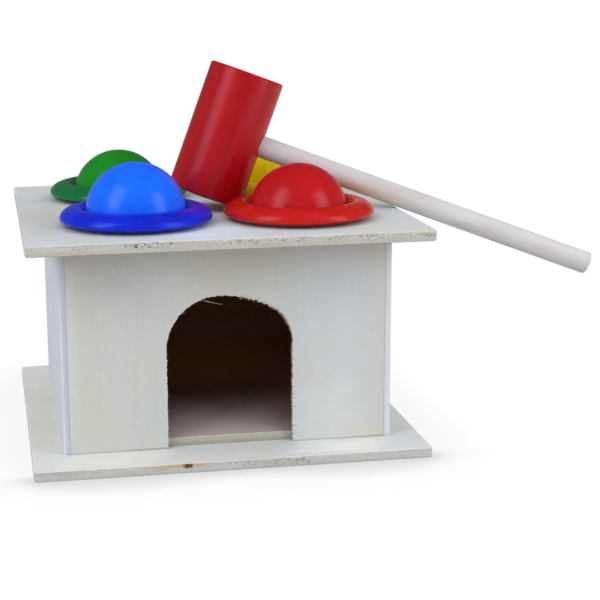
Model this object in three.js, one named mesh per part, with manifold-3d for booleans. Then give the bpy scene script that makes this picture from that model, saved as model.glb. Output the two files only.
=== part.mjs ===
// Ball pounding toy: a small wooden house with four balls held in collars on its roof,
// and a mallet resting across it. Struck balls drop through the roof, roll down a ramp
// and leave by the arched door. Millimetres, +Z up, the doorway faces -Y, and the origin
// is the centre of the base board's underside.

import * as THREE from 'three';
import { mergeVertices } from 'three/addons/utils/BufferGeometryUtils.js';
import Module from 'manifold-3d';

const wasm = await Module();
wasm.setup();

const collarSegments = 44;
const ballSegments = 32;
const ballRings = 18;
const malletSegments = 40;
const domeSegments = 5;
const archSegments = 5;
const smallArcSegments = 3;
const quarterTurn = Math.PI / 2;
const degree = Math.PI / 180;

// Clearances shared by the whole toy.
const restGap = 0.3;
const cutOverrun = 2;

// Balls. Each sits at its own height in its collar, as it was last pushed in.
const ball = { radius: 17.5 };
const ballRise = { blue: 4.1, red: 1.9, green: 0.9, yellow: 2.0 };

// Collars: a domed flange on the roof and a skirt with a grip rib inside the roof's hole.
const collar = {
  boreClearance: 0.3,
  lipWidth: 9,
  undercut: 4.4,
  undercutHeight: 2.3,
  lipRound: 0.5,
  crestHeight: 6.5,
  funnelWidth: 2.7,
  funnelDepth: 5.5,
  skirtWall: 1.3,
  skirtShort: 0.4,
  ribStep: 0.3,
  ribHeight: 0.8,
  besideGap: 4.4,
};
collar.bore = ball.radius + collar.boreClearance;
collar.outer = collar.bore + collar.lipWidth;
collar.skirt = collar.bore + collar.skirtWall;
collar.rib = collar.skirt + collar.ribStep;
collar.hole = collar.rib + restGap;

// Mallet: a turned head on a plain dowel.
const mallet = {
  headRadius: 13.89,
  headLength: 47.6,
  headRound: 0.9,
  handleRadius: 4,
  handleReach: 141.7,
  handleRound: 1.2,
  socketClearance: 0.3,
  socketPastAxis: 6,
  footRoom: 2.55,
  footAside: 2.35,
  heading: -13.6 * degree,
  roll: -5.6 * degree,
};

// Boards and walls of plywood.
const roof = { thickness: 3.7, corner: 1.6, arris: 0.35 };
const base = { thickness: 3.5, corner: 1.6, arris: 0.35 };
const wall = { thickness: 2.2, height: 73, arris: 0.25 };
const overhang = { front: 16.8, back: 6.5, side: 11.1 };
const besideBalls = { front: 0.5, back: 10.65, side: 9.2 };

// Doorway, open down to the base board. Its hand-sawn arch is a quarter circle left of the
// crown, and a flat arc with a tighter haunch right of it.
const door = {
  ballEase: 9.2,
  height: 53.9,
  rise: 16.7,
  haunchRadius: 13.3,
  offset: 0.5,
  crownAside: 3.4,
};
door.halfWidth = ball.radius + door.ballEase / 2;

// Ramp board that turns every ball to the door, and the batten under its high end.
const ramp = { thickness: 3, slope: 9.5 * degree };
const batten = { width: 8, endGap: 6 };

// The collars stand as close across as their flanges allow, and far enough apart front
// to back that the mallet's head can stand on the roof between the four.
const collarPitch = { across: 2 * collar.outer + collar.besideGap };
const diagonalHalf = collar.outer + mallet.headRadius + mallet.footRoom;
collarPitch.along = 2 * Math.sqrt(diagonalHalf ** 2 - (collarPitch.across / 2) ** 2);

// Plan of the house, worked out from the balls, what surrounds them and the overhangs.
const plan = {};
plan.innerHalf = collarPitch.across / 2 + ball.radius + besideBalls.side;
plan.wallHalf = plan.innerHalf + wall.thickness;
plan.roofHalf = plan.wallHalf + overhang.side;
plan.innerDepth = collarPitch.along + 2 * ball.radius + besideBalls.front + besideBalls.back;
plan.roofDepth = overhang.front + plan.innerDepth + 2 * wall.thickness + overhang.back;
plan.frontFace = overhang.front - plan.roofDepth / 2;
plan.innerFront = plan.frontFace + wall.thickness;
plan.innerBack = plan.innerFront + plan.innerDepth;
plan.backFace = plan.innerBack + wall.thickness;
plan.frontRow = plan.innerFront + besideBalls.front + ball.radius;
plan.backRow = plan.frontRow + collarPitch.along;

const level = {};
level.wallFoot = base.thickness;
level.roofUnder = level.wallFoot + wall.height;
level.roofTop = level.roofUnder + roof.thickness;

const seats = {
  blue: new THREE.Vector2(-collarPitch.across / 2, plan.frontRow),
  red: new THREE.Vector2(collarPitch.across / 2, plan.frontRow),
  green: new THREE.Vector2(-collarPitch.across / 2, plan.backRow),
  yellow: new THREE.Vector2(collarPitch.across / 2, plan.backRow),
};

const ply = { roughness: 0.75, metalness: 0 };
const finishes = {
  roof: { color: '#dedbd0', ...ply },
  base: { color: '#dcd9cf', ...ply },
  wall: { color: '#d2d3cd', ...ply },
  inside: { color: '#c9bba3', ...ply },
  handle: { color: '#d9cfc2', roughness: 0.6, metalness: 0 },
  mallet: { color: '#b41219', roughness: 0.35, metalness: 0 },
  blueBall: { color: '#1d6cf2', roughness: 0.25, metalness: 0 },
  redBall: { color: '#c21a1c', roughness: 0.25, metalness: 0 },
  greenBall: { color: '#238f2c', roughness: 0.25, metalness: 0 },
  yellowBall: { color: '#e0c800', roughness: 0.25, metalness: 0 },
  blueCollar: { color: '#1c2fd6', roughness: 0.2, metalness: 0 },
  redCollar: { color: '#d61c1c', roughness: 0.2, metalness: 0 },
  greenCollar: { color: '#1f7d3c', roughness: 0.2, metalness: 0 },
  yellowCollar: { color: '#e3c600', roughness: 0.2, metalness: 0 },
};

/** A named mesh with a material of its own. */
function piece(name, geometry, finish) {
  const mesh = new THREE.Mesh(geometry, new THREE.MeshStandardMaterial(finish));
  mesh.name = name;
  return mesh;
}

/** Turns a closed geometry into a solid that can be cut. */
function solidFrom(geometry) {
  const bare = geometry.clone();
  bare.deleteAttribute('normal');
  bare.deleteAttribute('uv');
  const merged = mergeVertices(bare);
  const vertProperties = new Float32Array(merged.attributes.position.array);
  const triVerts = new Uint32Array(merged.index.array);
  return new wasm.Manifold(new wasm.Mesh({ numProp: 3, vertProperties, triVerts }));
}

/** Turns a cut solid back into a geometry with flat faces. */
function geometryFrom(solid) {
  const { vertProperties, triVerts } = solid.getMesh();
  const geometry = new THREE.BufferGeometry();
  geometry.setAttribute('position', new THREE.BufferAttribute(vertProperties, 3));
  geometry.setIndex(new THREE.BufferAttribute(triVerts, 1));
  const flat = geometry.toNonIndexed();
  flat.computeVertexNormals();
  return flat;
}

/** Points on part of an ellipse, both ends included. */
function ellipseArc(centre, radii, fromAngle, toAngle, steps) {
  const curve = new THREE.EllipseCurve(
    centre.x, centre.y, radii.x, radii.y, fromAngle, toAngle, toAngle < fromAngle,
  );
  return curve.getPoints(steps);
}

/** A rectangle with round corners, centred on the origin. */
function roundRectangle(width, depth, corner) {
  const reach = new THREE.Vector2(width / 2 - corner, depth / 2 - corner);
  const radii = new THREE.Vector2(corner, corner);
  const signs = [[1, 1], [-1, 1], [-1, -1], [1, -1]];
  const points = signs.flatMap(([signX, signY], index) => {
    const centre = new THREE.Vector2(signX * reach.x, signY * reach.y);
    return ellipseArc(centre, radii, index * quarterTurn, (index + 1) * quarterTurn, smallArcSegments);
  });
  return new THREE.Shape(points);
}

/** A rectangle with sharp corners, centred across and standing on the X axis. */
function sharpRectangle(width, height) {
  const half = width / 2;
  return new THREE.Shape([
    new THREE.Vector2(-half, 0),
    new THREE.Vector2(half, 0),
    new THREE.Vector2(half, height),
    new THREE.Vector2(-half, height),
  ]);
}

/** A plate cut to a shape, with a small flat planed on its edges. */
function plate(shape, thickness, arris) {
  const geometry = new THREE.ExtrudeGeometry(shape, {
    depth: thickness - 2 * arris,
    bevelEnabled: true,
    bevelSize: arris,
    bevelThickness: arris,
    bevelOffset: -arris,
    bevelSegments: 1,
    curveSegments: collarSegments / 2,
  });
  geometry.translate(0, 0, arris);
  return geometry;
}

/** A body turned about the Z axis from a closed run of points (radius, height). */
function turned(profile, segments) {
  const geometry = new THREE.LatheGeometry(profile, segments);
  geometry.rotateX(quarterTurn);
  return geometry;
}

function roofBoard() {
  const shape = roundRectangle(2 * plan.roofHalf, plan.roofDepth, roof.corner);
  for (const seat of Object.values(seats)) {
    const hole = new THREE.Path();
    hole.absarc(seat.x, seat.y, collar.hole, 0, 4 * quarterTurn, true);
    shape.holes.push(hole);
  }
  const board = piece('top_board', plate(shape, roof.thickness, roof.arris), finishes.roof);
  board.position.z = level.roofUnder;
  return board;
}

function baseBoard() {
  const shape = roundRectangle(2 * plan.roofHalf, plan.roofDepth, base.corner);
  return piece('base_board', plate(shape, base.thickness, base.arris), finishes.base);
}

/** The doorway's outline, run from its right foot over the arch to its left foot. */
function doorOutline(path) {
  const { halfWidth, height, rise, haunchRadius, offset } = door;
  const crownX = offset - door.crownAside;
  const run = halfWidth + door.crownAside - haunchRadius;
  const crownRadius = (run ** 2 + rise ** 2 - haunchRadius ** 2) / (2 * (rise - haunchRadius));
  const spring = height - rise;
  const crownY = height - crownRadius;
  const haunchAngle = Math.atan2(spring - crownY, run);
  const leftRadius = halfWidth - door.crownAside;
  path.lineTo(offset + halfWidth, 0);
  path.absarc(crownX + run, spring, haunchRadius, 0, haunchAngle);
  path.absarc(crownX, crownY, crownRadius, haunchAngle, quarterTurn);
  path.absarc(crownX, height - leftRadius, leftRadius, quarterTurn, 2 * quarterTurn);
  path.lineTo(offset - halfWidth, 0);
}

function frontPanel() {
  const shape = new THREE.Shape();
  shape.moveTo(plan.innerHalf, wall.height);
  shape.lineTo(-plan.innerHalf, wall.height);
  shape.lineTo(-plan.innerHalf, 0);
  shape.lineTo(door.offset - door.halfWidth, 0);
  const opening = new THREE.Path();
  opening.moveTo(door.offset + door.halfWidth, 0);
  doorOutline(opening);
  const overArch = opening.getPoints(archSegments).reverse();
  for (const point of overArch) {
    shape.lineTo(point.x, point.y);
  }
  shape.lineTo(plan.innerHalf, 0);
  const panel = piece('front_panel', plate(shape, wall.thickness, wall.arris), finishes.wall);
  panel.rotation.x = quarterTurn;
  panel.position.set(0, plan.innerFront, level.wallFoot);
  return panel;
}

function backPanel() {
  const shape = sharpRectangle(2 * plan.innerHalf, wall.height);
  const panel = piece('back_panel', plate(shape, wall.thickness, wall.arris), finishes.wall);
  panel.rotation.x = quarterTurn;
  panel.position.set(0, plan.backFace, level.wallFoot);
  return panel;
}

/** A side wall as deep as the house, with its inner face at the given place. */
function sideWall(name, nearX) {
  const depth = plan.backFace - plan.frontFace;
  const shape = sharpRectangle(depth, wall.height);
  const side = piece(name, plate(shape, wall.thickness, wall.arris), finishes.wall);
  side.rotation.set(quarterTurn, quarterTurn, 0);
  side.position.set(nearX, (plan.frontFace + plan.backFace) / 2, level.wallFoot);
  return side;
}

/** A bar of constant section in the YZ plane, laid across the house. */
function crossBar(name, section, length, finish) {
  const shape = new THREE.Shape(section);
  const bar = piece(name, new THREE.ExtrudeGeometry(shape, { depth: length, bevelEnabled: false }), finish);
  bar.rotation.set(quarterTurn, quarterTurn, 0);
  bar.position.x = -length / 2;
  return bar;
}

function rampPieces() {
  const front = plan.innerFront + restGap;
  const back = plan.innerBack - restGap;
  const upright = ramp.thickness / Math.cos(ramp.slope);
  const climb = (y) => level.wallFoot + (y - front) * Math.tan(ramp.slope);
  const board = crossBar('ramp_board', [
    new THREE.Vector2(front, level.wallFoot),
    new THREE.Vector2(back, climb(back)),
    new THREE.Vector2(back, climb(back) + upright),
    new THREE.Vector2(front, level.wallFoot + upright),
  ], 2 * (plan.innerHalf - restGap), finishes.inside);
  const battenFront = plan.innerBack - batten.width;
  const support = crossBar('ramp_batten', [
    new THREE.Vector2(battenFront, level.wallFoot),
    new THREE.Vector2(plan.innerBack, level.wallFoot),
    new THREE.Vector2(plan.innerBack, climb(plan.innerBack) - restGap),
    new THREE.Vector2(battenFront, climb(battenFront) - restGap),
  ], 2 * (plan.innerHalf - batten.endGap), finishes.inside);
  return [board, support];
}

/** The collar's section, as (radius, height above the roof), counter-clockwise. */
function collarProfile() {
  const { bore, outer, skirt, rib, undercutHeight, lipRound, crestHeight, ribHeight } = collar;
  const crest = bore + collar.funnelWidth;
  const foot = collar.skirtShort - roof.thickness;
  const ribMiddle = foot / 2;
  const lip = ellipseArc(
    new THREE.Vector2(outer - lipRound, undercutHeight),
    new THREE.Vector2(lipRound, lipRound), -quarterTurn, 0, smallArcSegments,
  );
  const dome = ellipseArc(
    new THREE.Vector2(crest, undercutHeight),
    new THREE.Vector2(outer - crest, crestHeight - undercutHeight), 0, quarterTurn, domeSegments,
  );
  const funnel = ellipseArc(
    new THREE.Vector2(crest, crestHeight - collar.funnelDepth),
    new THREE.Vector2(collar.funnelWidth, collar.funnelDepth), quarterTurn, 2 * quarterTurn, smallArcSegments,
  );
  return [
    new THREE.Vector2(bore, foot),
    new THREE.Vector2(skirt, foot),
    new THREE.Vector2(skirt, ribMiddle - ribHeight / 2),
    new THREE.Vector2(rib, ribMiddle),
    new THREE.Vector2(skirt, ribMiddle + ribHeight / 2),
    new THREE.Vector2(skirt, 0),
    new THREE.Vector2(outer - collar.undercut, 0),
    ...lip,
    ...dome.slice(1),
    ...funnel.slice(1),
    new THREE.Vector2(bore, foot),
  ];
}

function collarOf(colour) {
  const mesh = piece(`ring_${colour}`, turned(collarProfile(), collarSegments), finishes[`${colour}Collar`]);
  mesh.position.set(seats[colour].x, seats[colour].y, level.roofTop);
  return mesh;
}

function ballOf(colour) {
  const geometry = new THREE.SphereGeometry(ball.radius, ballSegments, ballRings);
  geometry.rotateX(quarterTurn);
  const mesh = piece(`ball_${colour}`, geometry, finishes[`${colour}Ball`]);
  mesh.position.set(seats[colour].x, seats[colour].y, level.roofTop + ballRise[colour]);
  return mesh;
}

/** Half the section of a rod with rounded ends, from its low end to its high end. */
function rodProfile(radius, low, high, round) {
  const corner = new THREE.Vector2(round, round);
  return [
    new THREE.Vector2(0, low),
    ...ellipseArc(new THREE.Vector2(radius - round, low + round), corner, -quarterTurn, 0, smallArcSegments),
    ...ellipseArc(new THREE.Vector2(radius - round, high - round), corner, 0, quarterTurn, smallArcSegments),
    new THREE.Vector2(0, high),
  ];
}

function malletHead() {
  const half = mallet.headLength / 2;
  const blank = turned(rodProfile(mallet.headRadius, -half, half, mallet.headRound), malletSegments);
  const socketRadius = mallet.handleRadius + mallet.socketClearance;
  const socketLength = mallet.socketPastAxis + mallet.headRadius + cutOverrun;
  const socket = new THREE.CylinderGeometry(socketRadius, socketRadius, socketLength, malletSegments / 2);
  socket.rotateZ(-quarterTurn);
  socket.translate(socketLength / 2 - mallet.socketPastAxis, 0, 0);
  return piece('hammer_head', geometryFrom(solidFrom(blank).subtract(solidFrom(socket))), finishes.mallet);
}

function malletHandle() {
  const inner = restGap - mallet.socketPastAxis;
  const profile = rodProfile(mallet.handleRadius, inner, mallet.handleReach, mallet.handleRound);
  const geometry = turned(profile, malletSegments / 2);
  geometry.rotateY(quarterTurn);
  return piece('hammer_handle', geometry, finishes.handle);
}

/**
 * Where the mallet comes to rest: its head leans on one rim of its foot between the
 * collars, and its handle lies across the roof's right edge. The dip of the handle is
 * the one at which both touch, found by halving the interval that holds it.
 */
function malletPose() {
  const { headRadius, headRound, handleRadius, heading, roll } = mallet;
  const edgeX = plan.roofHalf - roof.arris;
  const headAt = (dip) => {
    const turn = new THREE.Euler(roll, dip, heading, 'ZYX');
    const axis = new THREE.Vector3(0, 0, 1).applyEuler(turn);
    const along = new THREE.Vector3(1, 0, 0).applyEuler(turn);
    const lean = Math.hypot(axis.x, axis.y);
    const footReach = (mallet.headLength / 2 - headRound) * axis.z + (headRadius - headRound) * lean;
    const height = restGap + headRound + footReach;
    const x = height * axis.x / axis.z - mallet.footAside;
    const across = Math.hypot(along.x, along.z);
    const overEdge = (height * along.x + (edgeX - x) * along.z) / across;
    return { turn, axis, x, height, spare: overEdge - handleRadius - restGap };
  };
  let low = 0;
  let high = quarterTurn / 2;
  const halvings = 50;
  for (let step = 0; step < halvings; step += 1) {
    const middle = (low + high) / 2;
    if (headAt(middle).spare > 0) {
      low = middle;
    } else {
      high = middle;
    }
  }
  return headAt(low);
}

/** How far back the head stands so that it just clears the red collar's dome. */
function headRow(pose) {
  const reach = mallet.headRadius + restGap;
  const away = new THREE.Vector3(0, 1, 0);
  const awayAcross = away.clone().projectOnPlane(pose.axis);
  let row = -Infinity;
  for (const point of collarProfile()) {
    for (let step = 0; step < collarSegments; step += 1) {
      const angle = step * 4 * quarterTurn / collarSegments;
      const offset = new THREE.Vector3(
        seats.red.x + point.x * Math.sin(angle) - pose.x,
        seats.red.y + point.x * Math.cos(angle),
        point.y - pose.height,
      ).projectOnPlane(pose.axis);
      const a = awayAcross.lengthSq();
      const b = offset.dot(awayAcross);
      const c = offset.lengthSq() - reach ** 2;
      const inside = b ** 2 - a * c;
      if (inside > 0 && point.y > 0) {
        row = Math.max(row, (b + Math.sqrt(inside)) / a);
      }
    }
  }
  return row;
}

function malletGroup() {
  const pose = malletPose();
  const group = new THREE.Group();
  group.rotation.copy(pose.turn);
  group.position.set(pose.x, headRow(pose), level.roofTop + pose.height);
  group.add(malletHead(), malletHandle());
  return group;
}

const house = new THREE.Group();
house.add(roofBoard(), baseBoard(), frontPanel(), backPanel());
house.add(sideWall('left_wall', -plan.wallHalf), sideWall('right_wall', plan.innerHalf));
house.add(...rampPieces());
const balls = new THREE.Group();
for (const colour of Object.keys(seats)) {
  house.add(collarOf(colour));
  balls.add(ballOf(colour));
}

const toy = new THREE.Group();
toy.add(house, balls, malletGroup());

export default toy;
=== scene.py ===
import logging
import math
import random
from collections.abc import Callable, Iterable
from dataclasses import dataclass, replace
from enum import Enum
from functools import partial

import bmesh
import bpy
from bmesh.types import BMEdge, BMesh, BMVert
from bpy.types import ID, Material, Node, NodeSocket, NodeTree, Object, World
from mathutils import Euler, Matrix, Vector, noise


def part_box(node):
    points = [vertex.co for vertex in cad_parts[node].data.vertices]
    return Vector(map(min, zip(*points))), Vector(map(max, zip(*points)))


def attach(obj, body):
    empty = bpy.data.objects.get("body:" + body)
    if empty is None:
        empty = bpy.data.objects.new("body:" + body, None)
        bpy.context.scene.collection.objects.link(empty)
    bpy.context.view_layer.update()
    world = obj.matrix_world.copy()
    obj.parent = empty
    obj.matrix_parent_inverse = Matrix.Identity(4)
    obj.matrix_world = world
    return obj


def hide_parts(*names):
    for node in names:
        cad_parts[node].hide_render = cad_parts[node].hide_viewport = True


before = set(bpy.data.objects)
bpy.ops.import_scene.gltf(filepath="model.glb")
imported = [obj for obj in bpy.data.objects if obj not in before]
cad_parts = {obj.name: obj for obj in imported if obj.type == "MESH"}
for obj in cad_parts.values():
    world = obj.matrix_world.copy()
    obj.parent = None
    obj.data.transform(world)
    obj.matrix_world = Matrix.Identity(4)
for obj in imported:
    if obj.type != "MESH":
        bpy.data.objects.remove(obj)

Size = tuple[float, float, float]
Span = tuple[float, float]
Input = Node | NodeSocket | float | tuple | None
Adder = Callable[..., Node]

MM = 0.001
FULL_TURN = 2 * math.pi

# Nearly all of a noise's values lie in MOST.
MOST: Span = (0.3, 0.7)
WHOLE: Span = (0.0, 1.0)

# The material numbers of a board's faces.
FACE, EDGE, INNER = range(3)

# How far a face's normal lies along the board's own axis: more than FLAT on its two faces, less than
# SAWN on a sawn cut and less than UPRIGHT on its four edges.
FLAT, SAWN, UPRIGHT = 0.9, 0.5, 0.3

log = logging.getLogger("toy")


class Body(Enum):
    """The rigid bodies that pieces ride on."""

    HOUSE = "house"
    MALLET = "mallet"


class Hue(Enum):
    """The colours of the balls and their collars."""

    BLUE = "blue"
    RED = "red"
    GREEN = "green"
    YELLOW = "yellow"


class Side(Enum):
    """Which way the outer face of a board looks."""

    UP = (0, 0, 1)
    FRONT = (0, -1, 0)
    BACK = (0, 1, 0)
    LEFT = (-1, 0, 0)
    RIGHT = (1, 0, 0)


def linear(colour: str) -> tuple[float, float, float, float]:
    """Turn an sRGB hex colour into linear light.

    Args:
        colour: Six hex digits after a hash.

    Returns:
        Red, green, blue and an alpha of 1.
    """
    channels = [int(colour[place:place + 2], 16) / 255 for place in (1, 3, 5)]
    red, green, blue = (
        c / 12.92 if c <= 0.04045 else ((c + 0.055) / 1.055) ** 2.4 for c in channels
    )
    return red, green, blue, 1.0


def add_node(tree: NodeTree, kind: str, *inputs: Input, named: dict[str, Input] | None = None,
             **settings: str | int) -> Node:
    """Add a shader node with its settings and links.

    Args:
        tree: The node tree that takes the node.
        kind: The node's type name, without the ShaderNode that it starts with.
        inputs: For each socket in use, in order: a value, a socket, a node or None for its default.
        named: More inputs, by the sockets' names.
        settings: Properties set on the node itself.

    Returns:
        The new node.
    """
    node = tree.nodes.new(f"ShaderNode{kind}")
    for name, value in settings.items():
        setattr(node, name, value)
    in_use = [socket for socket in node.inputs if socket.enabled]
    pairs = [*zip(in_use, inputs), *((node.inputs[name], value) for name, value in (named or {}).items())]
    for socket, value in pairs:
        if isinstance(value, Node):
            value = next(output for output in value.outputs if output.enabled)
        if isinstance(value, NodeSocket):
            tree.links.new(value, socket)
        elif value is not None:
            socket.default_value = value
    return node


def empty_nodes(owner: Material | World) -> Adder:
    """Give a material or a world an empty node tree.

    Args:
        owner: What gets the tree.

    Returns:
        The function that adds nodes to it.
    """
    owner.use_nodes = True
    owner.node_tree.nodes.clear()
    return partial(add_node, owner.node_tree)


@dataclass(frozen=True)
class Grain:
    """A layer of uneven colour, sheen or height, in blotches of a real size.

    Attributes:
        size_mm: The width of a blotch along X, Y and Z.
        span: The part of the noise that fades from the first end to the second.
        ends: The layer's strength at either end of the span.
        detail: How many finer layers it has.
        rough: How strong the finer layers are.
        shift: Moves the blotches, so that two layers differ.
    """

    size_mm: Size
    span: Span = (0.35, 0.65)
    ends: Span = (0.0, 1.0)
    detail: float = 2.0
    rough: float = 0.5
    shift: float = 0.0

    def draw(self, add: Adder, place: Node) -> Node:
        """Add the layer's nodes.

        Args:
            add: Adds a node to the material.
            place: The place on the piece in millimetres.

        Returns:
            The node that gives the layer's strength.
        """
        spread = add("Mapping", place, (self.shift,) * 3, None, tuple(1 / size for size in self.size_mm))
        blotches = add("TexNoise", spread, 1.0, self.detail, self.rough)
        return add("MapRange", blotches, *self.span, *self.ends, interpolation_type="SMOOTHSTEP")


@dataclass(frozen=True)
class Mark:
    """A stained patch, knot, painted light or shade, or crowd of specks at one place, with a ragged soft
    rim.

    Attributes:
        centre_mm: Its middle.
        radii_mm: Its half widths along X, Y and Z.
        share: How strong it is in its middle.
        soft: The share of its radius over which it fades.
        colour: Its colour, where it is a stained patch or painted light or shade.
        rag: How far its rim strays, as a share of its radius.
        wave: How long the rim's waves are, as a share of its radius.
    """

    centre_mm: Size
    radii_mm: Size
    share: float = 1.0
    soft: float = 0.6
    colour: str = "#ffffff"
    rag: float = 0.25
    wave: float = 0.35

    def draw(self, add: Adder, place: Node) -> Node:
        """Add the mark's nodes.

        Args:
            add: Adds a node to the material.
            place: The place on the piece in millimetres.

        Returns:
            The node that gives the mark's strength.
        """
        back = tuple(-c / r for c, r in zip(self.centre_mm, self.radii_mm))
        near = add("Mapping", place, back, None, tuple(1 / r for r in self.radii_mm))
        distance = add("VectorMath", near, operation="LENGTH")
        stray = Grain(tuple(self.wave * r for r in self.radii_mm), MOST, (-self.rag, self.rag))
        ragged = add("Math", distance, stray.draw(add, place), operation="ADD")
        return add("MapRange", ragged, 1 - self.soft, 1 + 0.5 * self.soft, self.share, 0.0,
                   interpolation_type="SMOOTHSTEP")


def marks(axis: int, level: float, reach: float, *rows: tuple) -> tuple[Mark, ...]:
    """Place marks on one flat face.

    Args:
        axis: The axis that the face looks along: 1 for Y or 2 for Z.
        level: Where the face lies along that axis, in millimetres.
        reach: How far the marks reach along it.
        rows: Each mark's two other coordinates, its two other half widths and the rest of its fields.

    Returns:
        The marks.
    """
    placed = []
    for first, second, half_first, half_second, *rest in rows:
        centre, radii = [first, second], [half_first, half_second]
        centre.insert(axis, level)
        radii.insert(axis, reach)
        placed.append(Mark(tuple(centre), tuple(radii), *rest))
    return tuple(placed)


def tint(add: Adder, ground: str, layers: Iterable[tuple[Node, str]]) -> Node:
    """Lay colours over a ground colour, one after another.

    Args:
        add: Adds a node to the material.
        ground: The lowest colour.
        layers: The strength and the colour of each layer.

    Returns:
        The node that gives the colour.
    """
    colour = linear(ground)
    for strength, above in layers:
        colour = add("Mix", strength, colour, linear(above), data_type="RGBA")
    return colour


def connect(add: Adder, colour: Node, sheen: Node | float, height: Node, relief_mm: float,
            **fixed: float | tuple) -> None:
    """Connect a material's shader.

    Args:
        add: Adds a node to the material.
        colour: The base colour.
        sheen: The roughness.
        height: The surface's height, from about 0 to 1.
        relief_mm: How high a height of 1 stands.
        fixed: Constant inputs of the shader, with underscores for spaces.
    """
    relief = add("Bump", 1.0, relief_mm * MM, None, height)
    constants = {key.replace("_", " "): value for key, value in fixed.items()}
    shader = add("BsdfPrincipled",
                 named={"Base Color": colour, "Roughness": sheen, "Normal": relief, **constants})
    add("OutputMaterial", shader)


@dataclass(frozen=True)
class Finish:
    """A surface finish, drawn in millimetres on the piece's own place."""

    name: str

    def begin(self, turn: Matrix | None = None) -> tuple[Material, Adder, Node]:
        """Start the material.

        Args:
            turn: The piece's own place and axes, or nothing where they are the frame's.

        Returns:
            The material, what adds nodes to it and the place on the piece in millimetres.
        """
        material = bpy.data.materials.new(self.name)
        add = empty_nodes(material)
        metres = add("TexCoord").outputs["Object"]
        place = add("Mapping", metres, None, None, (1 / MM,) * 3)
        if turn is not None:
            back = turn.inverted()
            place = add("Mapping", place, tuple(back.translation / MM), tuple(back.to_euler()))
        return material, add, place


@dataclass(frozen=True)
class SandedPly(Finish):
    """Sanded basswood plywood under a thin whitewash: matt, with faint grain and soft stained patches.

    Warm clouds lie over the cool ground. Sanding leaves nibs, small raised white specks, in a few
    crowds, with a scatter of them elsewhere. Real grain lines and nibs are finer than the render
    shows, so they are drawn as wide as they need to be to show. Some colours are painted shade and light.
    """

    cool: str = "#c5c9cb"
    warm: str = "#c9c8c3"
    grain: str = "#b4b2ab"
    nib: str = "#ebebe7"
    grain_mm: Size = (1.3, 1.3, 46.0)
    grain_share: float = 0.12
    roughness: float = 0.62
    gloss: float = 0.3
    stains_and_painted_light: tuple[Mark, ...] = ()
    crowds: tuple[Mark, ...] = ()
    clouds: Grain = Grain((34.0, 34.0, 34.0), (0.36, 0.66))
    nibs: Grain = Grain((0.75, 0.75, 0.95), (0.60, 0.66), rough=0.7, shift=19.0)
    scatter: Grain = Grain((24.0, 24.0, 30.0), (0.56, 0.72), (0.0, 0.22), shift=5.0)
    tooth: Grain = Grain((0.4, 0.4, 0.9), (0.2, 0.8), (0.0, 0.5), detail=3.0, rough=0.6, shift=3.0)
    nib_height: float = 2.2
    relief_mm: float = 0.07

    def material(self) -> Material:
        """Build the board's material."""
        material, add, place = self.begin()
        nibs = self.nibs.draw(add, place)
        crowd = self.scatter.draw(add, place)
        for each in self.crowds:
            crowd = add("Math", crowd, each.draw(add, place), operation="MAXIMUM")
        nibs = add("Math", nibs, crowd, operation="MULTIPLY")
        lines = Grain(self.grain_mm, (0.45, 0.75), (0.0, self.grain_share),
                      detail=4.0, rough=0.6, shift=7.0)
        colour = tint(add, self.cool, [
            (self.clouds.draw(add, place), self.warm),
            (lines.draw(add, place), self.grain),
            *((tint_mark.draw(add, place), tint_mark.colour) for tint_mark in self.stains_and_painted_light),
            (nibs, self.nib),
        ])
        height = add("Math", nibs, self.nib_height, self.tooth.draw(add, place), operation="MULTIPLY_ADD")
        connect(add, colour, self.roughness, height, self.relief_mm, Specular_IOR_Level=self.gloss)
        return material


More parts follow.
